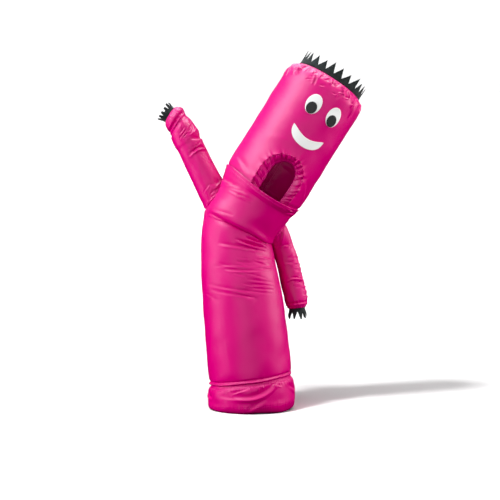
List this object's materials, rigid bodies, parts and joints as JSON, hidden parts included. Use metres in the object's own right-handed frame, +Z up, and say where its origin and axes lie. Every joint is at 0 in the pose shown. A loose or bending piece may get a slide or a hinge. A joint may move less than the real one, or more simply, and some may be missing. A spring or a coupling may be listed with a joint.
{
  "type": "inflatable air dancer costume",
  "caption": "Inflated tube costume of glossy polyester: bent trunk on a hem band, leaning head with face opening, eyes and smile, raised and lowered sleeves, zigzag hair.",
  "frame": {"origin": "on the floor under the middle of the figure's width and depth, in the plane that its hem stands on", "axes": "+Z up along its height, -Y the way the face looks, +X the side that the head leans to"},
  "size_m": [0.8216, 0.349, 1.4149],
  "materials": {
    "tube_cloth": "satin",
    "white_patch": "matte",
    "black_patch": "matte",
    "black_felt": "matte"
  },
  "bodies": {
    "root": {"body": "tube_cloth", "hem_band": "tube_cloth", "head_tube": "tube_cloth", "crown": "tube_cloth", "sleeve_raised": "tube_cloth", "sleeve_lowered": "tube_cloth", "face_ruffle": "tube_cloth", "cuff_raised": "black_felt", "cuff_lowered": "black_felt", "hair_fringe": "black_felt", "eye_white_left": "white_patch", "eye_white_right": "white_patch", "smile": "white_patch", "pupil_left": "black_patch", "pupil_right": "black_patch"}
  },
  "joints": []
}
